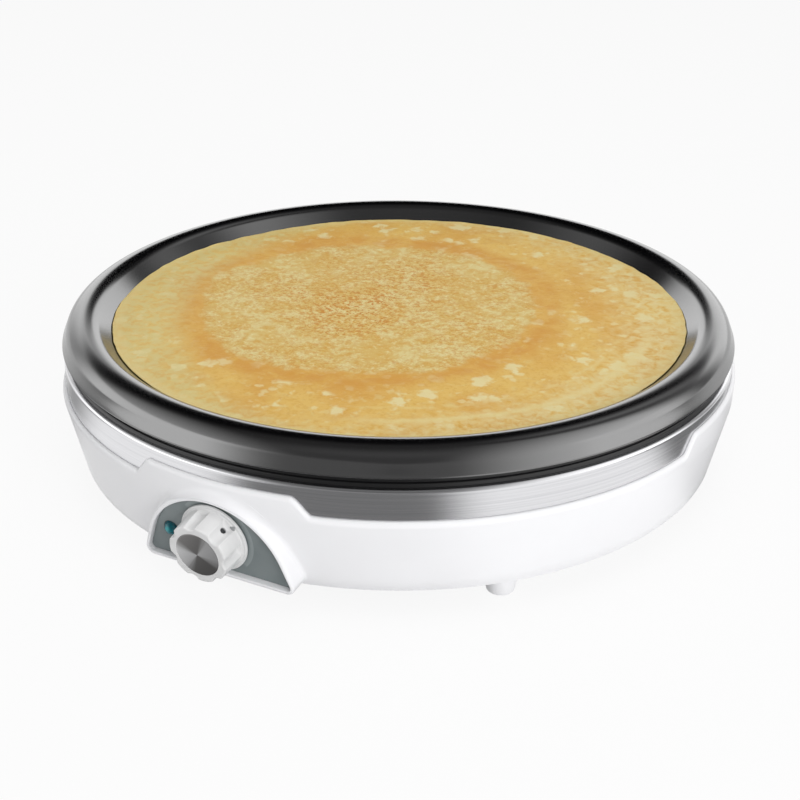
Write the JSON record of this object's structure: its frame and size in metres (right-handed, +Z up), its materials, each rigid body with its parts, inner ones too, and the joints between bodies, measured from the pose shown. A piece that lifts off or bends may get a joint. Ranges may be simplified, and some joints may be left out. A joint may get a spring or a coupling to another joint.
{
  "type": "electric crepe maker",
  "caption": "Round countertop electric crepe maker: flat black plate with a rolled rim, steel trim band, shallow white base, side control knob and pilot lamp.",
  "frame": {"origin": "middle of the overall box on the table; the plate's axis stands 8 mm behind it because the knob stands out in front", "axes": "+Z up, -Y towards the control knob, +X to the right of someone facing the knob"},
  "size_m": [0.404, 0.4228, 0.0956],
  "materials": {
    "nonstick_casting": "die-cast aluminium with satin black non-stick coating",
    "crepe": "cooked batter, mottled golden",
    "black_phenolic": "black heat-resistant moulding",
    "brushed_steel": "circumferentially brushed stainless steel",
    "white_plastic": "white semi-gloss moulding",
    "zinc_sheet": "zinc-plated sheet steel",
    "grey_rubber": "soft matte",
    "zinc_steel": "bright zinc-plated steel",
    "element_sheath": "oxidised steel sheath",
    "bright_aluminium": "bright rolled sheet",
    "brass": "bare brass",
    "grey_panel": "blue-grey satin",
    "spun_aluminium": "spun with fine concentric turning marks",
    "ceramic": "unglazed ceramic",
    "bimetal": "bare bimetal",
    "teal_lens": "translucent teal",
    "black_plastic": "moulded",
    "clear_glass": "clear",
    "white_nylon": "moulded nylon",
    "brown_wire": "silicone insulation",
    "black_wire": "silicone insulation",
    "white_wire": "silicone insulation",
    "blue_wire": "silicone insulation",
    "green_wire": "green and yellow insulation"
  },
  "bodies": {
    "base": {"cooking_plate": "nonstick_casting", "insulating_ring": "black_phenolic", "trim_band": "brushed_steel", "base_shell": "white_plastic", "bottom_cover": "zinc_sheet", "feet": "white_plastic", "foot_pads": "grey_rubber", "foot_screws": "zinc_steel", "tie_rods": "zinc_steel", "rod_nuts": "zinc_steel", "rod_washers": "zinc_steel", "heating_element": "element_sheath", "element_pins": "zinc_steel", "element_clamps": "zinc_sheet", "clamp_screws": "zinc_steel", "heat_reflector": "bright_aluminium", "thermal_fuse": "bright_aluminium", "fuse_clip": "zinc_sheet", "fuse_clip_screw": "zinc_steel", "earth_tag": "brass", "earth_screw": "zinc_steel", "control_panel": "grey_panel", "panel_screws": "zinc_steel", "thermostat_frame": "zinc_sheet", "thermostat_screws": "zinc_steel", "blade_terminal": "brass", "fixed_contact_arm": "brass", "bimetal_strip": "bimetal", "stack_ceramics": "ceramic", "stack_rivet": "zinc_steel", "pilot_lens": "teal_lens", "lamp_holder": "black_plastic", "neon_bulb": "clear_glass", "cord_gland": "grey_rubber", "gland_nut": "black_plastic", "terminal_block": "white_nylon", "block_mount_screws": "zinc_steel", "block_clamp_screws": "brass", "live_wire": "brown_wire", "switched_wire": "black_wire", "fuse_wire": "white_wire", "neutral_wire": "blue_wire", "earth_wire": "green_wire", "lamp_leads": "white_wire"},
    "knob": {"knob_body": "white_plastic", "knob_cap": "spun_aluminium", "knob_spindle": "brass"},
    "striker": {"striker_pin": "ceramic"},
    "switch_blade": {"contact_blade": "brass"},
    "crepe_sheet": {"crepe": "crepe"}
  },
  "joints": [
    {"name": "knob_turn", "type": "hinge", "parent": "base", "child": "knob", "pos_m": [0, -0.19511, 0.03508], "axis": [0, -0.9909, -0.1349], "range_deg": [-92, 103]},
    {"name": "striker_travel", "type": "slide", "parent": "base", "child": "striker", "axis": [0, 0.9909, 0.1349], "range_m": [-0.0004, 0.0004]},
    {"name": "blade_flex", "type": "hinge", "parent": "base", "child": "switch_blade", "pos_m": [0.0146, -0.18065, 0.03704], "axis": [0, -0.1349, 0.9909], "range_deg": [-1.6, 1.6]},
    {"name": "crepe_lift", "type": "slide", "parent": "base", "child": "crepe_sheet", "axis": [0, 0, 1], "range_m": [0, 0.06]}
  ],
  "couplings": [
    {"joint": "striker_travel", "follows": "knob_turn", "m_per_rad": -0.0002},
    {"joint": "blade_flex", "follows": "knob_turn", "ratio": 0.0137}
  ]
}
